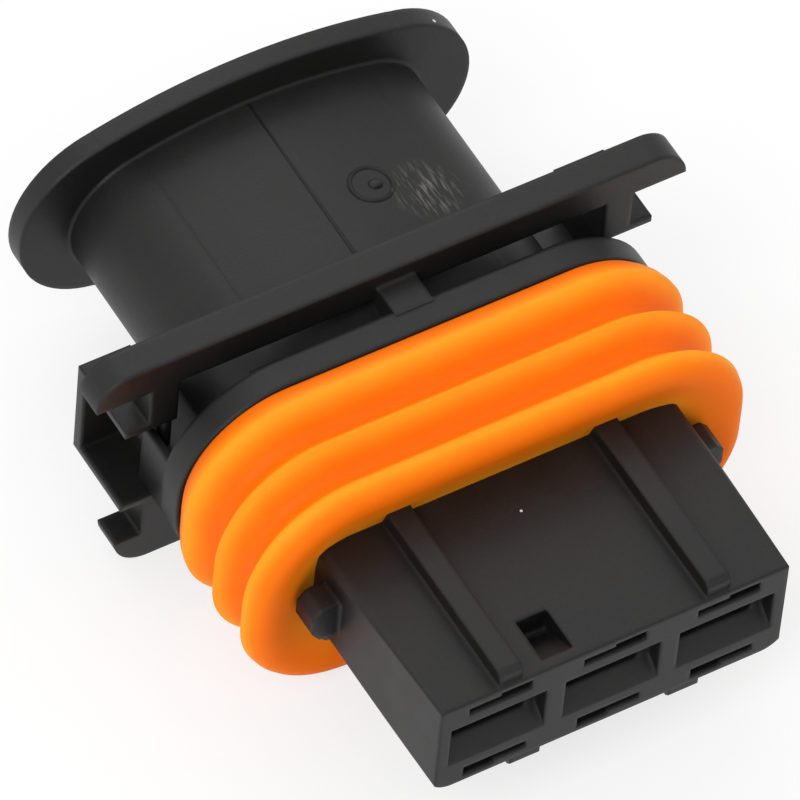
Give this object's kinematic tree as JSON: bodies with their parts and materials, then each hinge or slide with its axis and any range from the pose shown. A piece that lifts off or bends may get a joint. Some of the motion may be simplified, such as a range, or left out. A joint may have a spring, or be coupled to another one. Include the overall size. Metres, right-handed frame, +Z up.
{
  "type": "sealed automotive connector",
  "caption": "Sealed black wire connector with an orange lip seal, a squeeze latch ring and flat blade receptacles, shown before its wires are fitted.",
  "frame": {"origin": "middle of the bounding box's underside; the connector lies on one broad side, so the floor is at Z = 0", "axes": "-Y out of the mating face, +Y out of the wire end, X along the row of chambers, +Z up out of the broad side with the two wide-set guide ribs"},
  "size_m": [0.026, 0.029, 0.0118],
  "materials": {
    "housing_plastic": "matte",
    "silicone_orange": "satin",
    "silicone_blue": "satin",
    "tin_bronze": "satin",
    "spring_steel": "satin"
  },
  "bodies": {
    "root": {"housing": "housing_plastic", "radial_seal": "silicone_orange", "terminal_1": "tin_bronze", "terminal_2": "tin_bronze", "terminal_3": "tin_bronze", "terminal_spring_1": "spring_steel", "terminal_spring_2": "spring_steel", "terminal_spring_3": "spring_steel", "wire_seal_1": "silicone_blue", "wire_seal_2": "silicone_blue", "wire_seal_3": "silicone_blue"}
  },
  "joints": []
}
